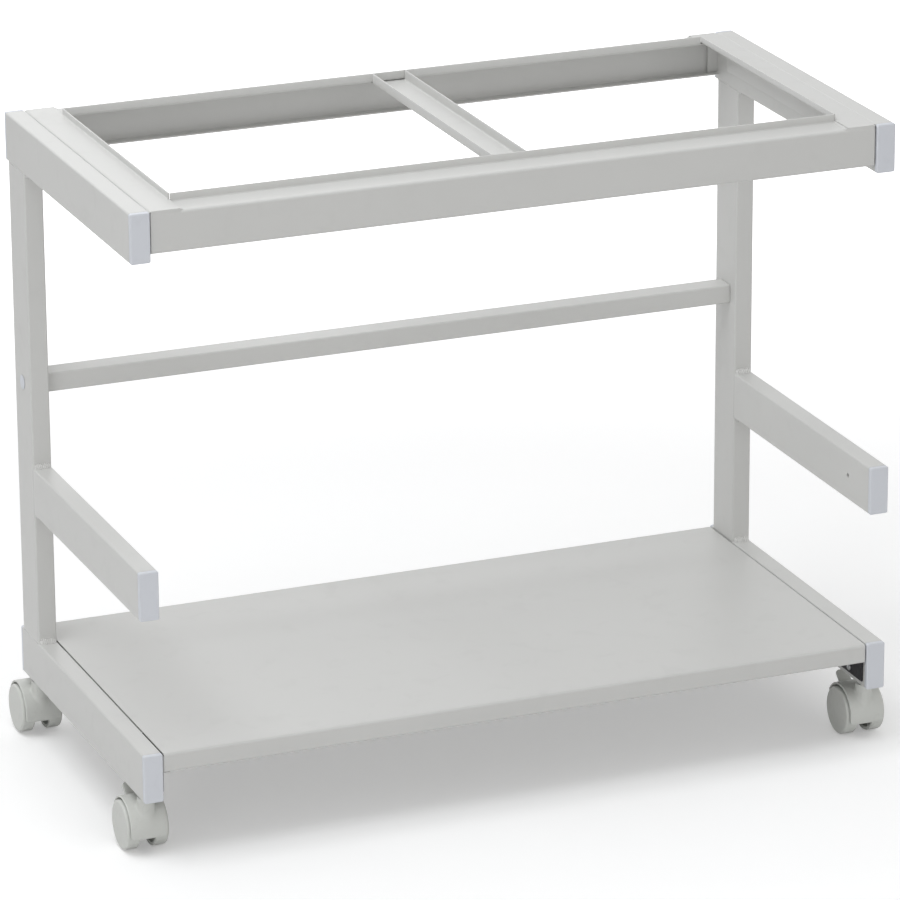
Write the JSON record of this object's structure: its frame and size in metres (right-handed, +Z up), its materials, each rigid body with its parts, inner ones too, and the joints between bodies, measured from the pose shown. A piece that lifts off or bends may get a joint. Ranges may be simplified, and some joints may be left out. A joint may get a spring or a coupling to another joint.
{
  "type": "office trolley",
  "caption": "Open office trolley on twin-wheel casters, with E-shaped side frames, a shelf near the floor and a top frame whose lips carry rows of suspension files.",
  "frame": {"origin": "on the floor, under the middle of the box round the whole trolley with all casters trailing to the back", "axes": "+X to the trolley's right, +Y to its back, +Z up; the middle arms' free ends point to -Y"},
  "size_m": [0.824, 0.4053, 0.6682],
  "materials": {
    "frame_paint": "satin light grey powder coat",
    "cap_plastic": "matt light grey with a blue tint",
    "caster_plastic": "matt warm light grey",
    "bracket_paint": "satin black powder coat",
    "steel": "zinc-plated"
  },
  "bodies": {
    "frame": {"left_post": "frame_paint", "left_top_arm": "frame_paint", "left_middle_arm": "frame_paint", "left_bottom_arm": "frame_paint", "left_top_front_cap": "cap_plastic", "left_top_rear_cap": "cap_plastic", "left_middle_front_cap": "cap_plastic", "left_bottom_front_cap": "cap_plastic", "left_bottom_rear_cap": "cap_plastic", "right_post": "frame_paint", "right_top_arm": "frame_paint", "right_middle_arm": "frame_paint", "right_bottom_arm": "frame_paint", "right_top_front_cap": "cap_plastic", "right_top_rear_cap": "cap_plastic", "right_middle_front_cap": "cap_plastic", "right_bottom_front_cap": "cap_plastic", "right_bottom_rear_cap": "cap_plastic", "rear_crossbar": "frame_paint", "crossbar_screw_left": "steel", "post_plug_left": "cap_plastic", "crossbar_screw_right": "steel", "post_plug_right": "cap_plastic", "front_rail": "frame_paint", "rear_rail": "frame_paint", "left_side_rail": "frame_paint", "right_side_rail": "frame_paint", "centre_rail": "frame_paint", "shelf": "frame_paint", "shelf_bracket_front_left": "bracket_paint", "bracket_screw_front_left": "steel", "shelf_bracket_front_right": "bracket_paint", "bracket_screw_front_right": "steel", "shelf_bracket_rear_left": "bracket_paint", "bracket_screw_rear_left": "steel", "shelf_bracket_rear_right": "bracket_paint", "bracket_screw_rear_right": "steel", "caster_front_left_stem": "steel", "caster_front_right_stem": "steel", "caster_rear_left_stem": "steel", "caster_rear_right_stem": "steel"},
    "front_left_caster": {"caster_front_left_hood": "caster_plastic", "caster_front_left_axle": "steel"},
    "front_left_left_wheel": {"caster_front_left_left_wheel": "caster_plastic"},
    "front_left_right_wheel": {"caster_front_left_right_wheel": "caster_plastic"},
    "front_left_brake": {"caster_front_left_brake_lever": "caster_plastic"},
    "front_right_caster": {"caster_front_right_hood": "caster_plastic", "caster_front_right_axle": "steel"},
    "front_right_left_wheel": {"caster_front_right_left_wheel": "caster_plastic"},
    "front_right_right_wheel": {"caster_front_right_right_wheel": "caster_plastic"},
    "front_right_brake": {"caster_front_right_brake_lever": "caster_plastic"},
    "rear_left_caster": {"caster_rear_left_hood": "caster_plastic", "caster_rear_left_axle": "steel"},
    "rear_left_left_wheel": {"caster_rear_left_left_wheel": "caster_plastic"},
    "rear_left_right_wheel": {"caster_rear_left_right_wheel": "caster_plastic"},
    "rear_right_caster": {"caster_rear_right_hood": "caster_plastic", "caster_rear_right_axle": "steel"},
    "rear_right_left_wheel": {"caster_rear_right_left_wheel": "caster_plastic"},
    "rear_right_right_wheel": {"caster_rear_right_right_wheel": "caster_plastic"}
  },
  "joints": [
    {"name": "front_left_swivel", "type": "hinge", "parent": "frame", "child": "front_left_caster", "pos_m": [-0.39, -0.175, 0], "axis": [0, 0, 1], "continuous": true},
    {"name": "front_left_left_wheel_spin", "type": "hinge", "parent": "front_left_caster", "child": "front_left_left_wheel", "pos_m": [-0.39, -0.157, 0.025], "axis": [1, 0, 0], "continuous": true},
    {"name": "front_left_right_wheel_spin", "type": "hinge", "parent": "front_left_caster", "child": "front_left_right_wheel", "pos_m": [-0.39, -0.157, 0.025], "axis": [1, 0, 0], "continuous": true},
    {"name": "front_left_brake_press", "type": "hinge", "parent": "front_left_caster", "child": "front_left_brake", "pos_m": [-0.39, -0.145, 0.0335], "axis": [-1, 0, 0], "range_deg": [0, 22]},
    {"name": "front_right_swivel", "type": "hinge", "parent": "frame", "child": "front_right_caster", "pos_m": [0.39, -0.175, 0], "axis": [0, 0, 1], "continuous": true},
    {"name": "front_right_left_wheel_spin", "type": "hinge", "parent": "front_right_caster", "child": "front_right_left_wheel", "pos_m": [0.39, -0.157, 0.025], "axis": [1, 0, 0], "continuous": true},
    {"name": "front_right_right_wheel_spin", "type": "hinge", "parent": "front_right_caster", "child": "front_right_right_wheel", "pos_m": [0.39, -0.157, 0.025], "axis": [1, 0, 0], "continuous": true},
    {"name": "front_right_brake_press", "type": "hinge", "parent": "front_right_caster", "child": "front_right_brake", "pos_m": [0.39, -0.145, 0.0335], "axis": [-1, 0, 0], "range_deg": [0, 22]},
    {"name": "rear_left_swivel", "type": "hinge", "parent": "frame", "child": "rear_left_caster", "pos_m": [-0.39, 0.159, 0], "axis": [0, 0, 1], "continuous": true},
    {"name": "rear_left_left_wheel_spin", "type": "hinge", "parent": "rear_left_caster", "child": "rear_left_left_wheel", "pos_m": [-0.39, 0.177, 0.025], "axis": [1, 0, 0], "continuous": true},
    {"name": "rear_left_right_wheel_spin", "type": "hinge", "parent": "rear_left_caster", "child": "rear_left_right_wheel", "pos_m": [-0.39, 0.177, 0.025], "axis": [1, 0, 0], "continuous": true},
    {"name": "rear_right_swivel", "type": "hinge", "parent": "frame", "child": "rear_right_caster", "pos_m": [0.39, 0.159, 0], "axis": [0, 0, 1], "continuous": true},
    {"name": "rear_right_left_wheel_spin", "type": "hinge", "parent": "rear_right_caster", "child": "rear_right_left_wheel", "pos_m": [0.39, 0.177, 0.025], "axis": [1, 0, 0], "continuous": true},
    {"name": "rear_right_right_wheel_spin", "type": "hinge", "parent": "rear_right_caster", "child": "rear_right_right_wheel", "pos_m": [0.39, 0.177, 0.025], "axis": [1, 0, 0], "continuous": true}
  ]
}
